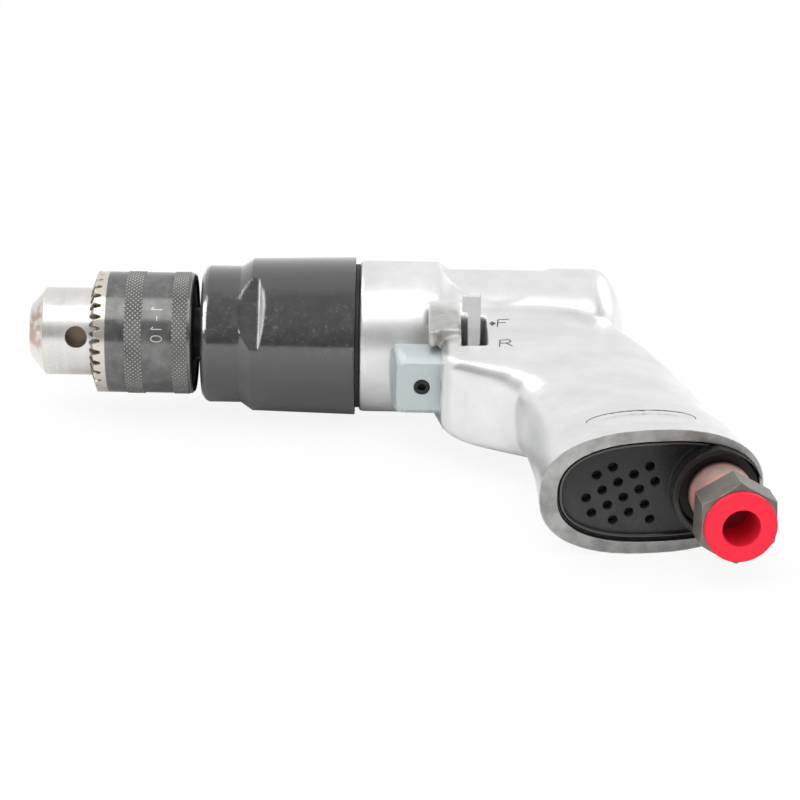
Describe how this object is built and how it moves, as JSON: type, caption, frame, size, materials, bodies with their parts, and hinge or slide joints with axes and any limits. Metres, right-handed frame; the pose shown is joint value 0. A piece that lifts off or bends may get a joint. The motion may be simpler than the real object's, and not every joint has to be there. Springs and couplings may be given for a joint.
{
  "type": "air drill",
  "caption": "Pistol-grip reversible air drill with a keyed three-jaw chuck, planetary reduction, vane motor, throttle trigger, reverse lever and rear exhaust grip.",
  "frame": {"origin": "centre of the chuck's nose face, on the spindle's axis", "axes": "+X runs back along the spindle, -Y is the way the handle hangs and +Z is the tool's left side, which faces up as the tool lies on its right side"},
  "size_m": [0.2008, 0.1581, 0.0465],
  "materials": {
    "chuck_steel": "turned bright steel with fine lathe marks",
    "sleeve_black": "black oxide, knurled, with bright key teeth",
    "inner_steel": "ground steel",
    "ball_steel": "polished bearing steel",
    "cover_black": "black, glossy, slightly orange-peeled moulding",
    "case_dark": "dark phosphated casting",
    "cast_aluminium": "bright satin cast aluminium",
    "motor_iron": "machined iron",
    "vane_composite": "brown laminated composite",
    "trigger_metal": "light grey satin casting",
    "screw_black": "black oxide",
    "lever_steel": "bright pressed steel",
    "brass": "turned brass",
    "seal_rubber": "black nitrile rubber",
    "exhaust_black": "black moulded nylon with a low sheen",
    "felt": "grey wool felt",
    "bushing_bronze": "dark bronzed steel with a reddish round body",
    "plug_red": "bright red moulded plastic"
  },
  "bodies": {
    "housing": {"housing": "cast_aluminium", "nose_cover": "cover_black", "gear_case": "case_dark", "ring_gear": "inner_steel", "spindle_bearing_outer": "inner_steel", "bearing_spacer": "inner_steel", "front_end_plate": "motor_iron", "front_bearing_outer": "inner_steel", "motor_cylinder": "motor_iron", "cylinder_pin": "inner_steel", "rear_end_plate": "motor_iron", "rear_bearing_outer": "inner_steel", "valve_bushing": "brass", "stem_seal": "seal_rubber", "valve_spring": "inner_steel", "exhaust_cover": "exhaust_black", "muffler_felt": "felt", "inlet_bushing": "bushing_bronze", "inlet_seal": "seal_rubber", "inlet_screen": "brass"},
    "spindle": {"spindle": "inner_steel", "planet_pins": "inner_steel", "spindle_bearing_inner": "inner_steel", "chuck_body": "chuck_steel", "chuck_screw": "screw_black"},
    "sleeve": {"chuck_sleeve": "sleeve_black", "chuck_nut": "inner_steel"},
    "jaw_1": {"chuck_jaw_1": "inner_steel"},
    "jaw_2": {"chuck_jaw_2": "inner_steel"},
    "jaw_3": {"chuck_jaw_3": "inner_steel"},
    "planet_1": {"planet_gear_1": "inner_steel"},
    "planet_2": {"planet_gear_2": "inner_steel"},
    "planet_3": {"planet_gear_3": "inner_steel"},
    "spindle_balls": {"spindle_bearing_balls": "ball_steel"},
    "rotor": {"rotor": "inner_steel", "rotor_vanes": "vane_composite", "front_bearing_inner": "inner_steel", "rear_bearing_inner": "inner_steel"},
    "front_balls": {"front_bearing_balls": "ball_steel"},
    "rear_balls": {"rear_bearing_balls": "ball_steel"},
    "trigger": {"trigger": "trigger_metal", "trigger_screw": "screw_black", "valve_stem": "inner_steel"},
    "reverse": {"reverse_valve": "brass", "reverse_lever": "lever_steel"},
    "plug": {"inlet_plug": "plug_red"}
  },
  "joints": [
    {"name": "spindle_spin", "type": "hinge", "parent": "housing", "child": "spindle", "pos_m": [0.0547, 0, 0], "axis": [1, 0, 0], "continuous": true},
    {"name": "rotor_spin", "type": "hinge", "parent": "housing", "child": "rotor", "pos_m": [0.127, 0, 0], "axis": [1, 0, 0], "continuous": true},
    {"name": "planet_spin_1", "type": "hinge", "parent": "spindle", "child": "planet_1", "pos_m": [0.0887, 0.009, 0], "axis": [1, 0, 0], "continuous": true},
    {"name": "planet_spin_2", "type": "hinge", "parent": "spindle", "child": "planet_2", "pos_m": [0.0887, -0.0045, 0.00779], "axis": [1, 0, 0], "continuous": true},
    {"name": "planet_spin_3", "type": "hinge", "parent": "spindle", "child": "planet_3", "pos_m": [0.0887, -0.0045, -0.00779], "axis": [1, 0, 0], "continuous": true},
    {"name": "spindle_balls_spin", "type": "hinge", "parent": "housing", "child": "spindle_balls", "pos_m": [0.0662, 0, 0], "axis": [1, 0, 0], "continuous": true},
    {"name": "front_balls_spin", "type": "hinge", "parent": "housing", "child": "front_balls", "pos_m": [0.103, 0, 0], "axis": [1, 0, 0], "continuous": true},
    {"name": "rear_balls_spin", "type": "hinge", "parent": "housing", "child": "rear_balls", "pos_m": [0.15, 0, 0], "axis": [1, 0, 0], "continuous": true},
    {"name": "sleeve_turn", "type": "hinge", "parent": "spindle", "child": "sleeve", "pos_m": [0.034, 0, 0], "axis": [1, 0, 0], "range_deg": [0, 4480]},
    {"name": "jaw_slide_1", "type": "slide", "parent": "spindle", "child": "jaw_1", "axis": [-0.9659, 0.08, -0.2462], "range_m": [0, 0.0169]},
    {"name": "jaw_slide_2", "type": "slide", "parent": "spindle", "child": "jaw_2", "axis": [-0.9659, -0.2532, 0.0538], "range_m": [0, 0.0169]},
    {"name": "jaw_slide_3", "type": "slide", "parent": "spindle", "child": "jaw_3", "axis": [-0.9659, 0.1732, 0.1923], "range_m": [0, 0.0169]},
    {"name": "trigger_press", "type": "slide", "parent": "housing", "child": "trigger", "axis": [1, 0, 0], "range_m": [0, 0.006], "stiffness_N_per_m": 1500, "springref_m": -0.004, "deforming": ["valve_spring"]},
    {"name": "reverse_turn", "type": "hinge", "parent": "housing", "child": "reverse", "pos_m": [0.127, -0.034, 0], "axis": [1, 0, 0], "range_deg": [0, 28]},
    {"name": "plug_pull", "type": "slide", "parent": "housing", "child": "plug", "axis": [0.1392, -0.9903, 0], "range_m": [0, 0.03]}
  ],
  "couplings": [
    {"joint": "rotor_spin", "follows": "spindle_spin", "ratio": 5},
    {"joint": "planet_spin_1", "follows": "spindle_spin", "ratio": -2.6667},
    {"joint": "planet_spin_2", "follows": "spindle_spin", "ratio": -2.6667},
    {"joint": "planet_spin_3", "follows": "spindle_spin", "ratio": -2.6667},
    {"joint": "spindle_balls_spin", "follows": "spindle_spin", "ratio": 0.38},
    {"joint": "front_balls_spin", "follows": "spindle_spin", "ratio": 1.9375},
    {"joint": "rear_balls_spin", "follows": "spindle_spin", "ratio": 1.72},
    {"joint": "jaw_slide_1", "follows": "sleeve_turn", "m_per_rad": 0.00021486},
    {"joint": "jaw_slide_2", "follows": "sleeve_turn", "m_per_rad": 0.00021486},
    {"joint": "jaw_slide_3", "follows": "sleeve_turn", "m_per_rad": 0.00021486}
  ]
}
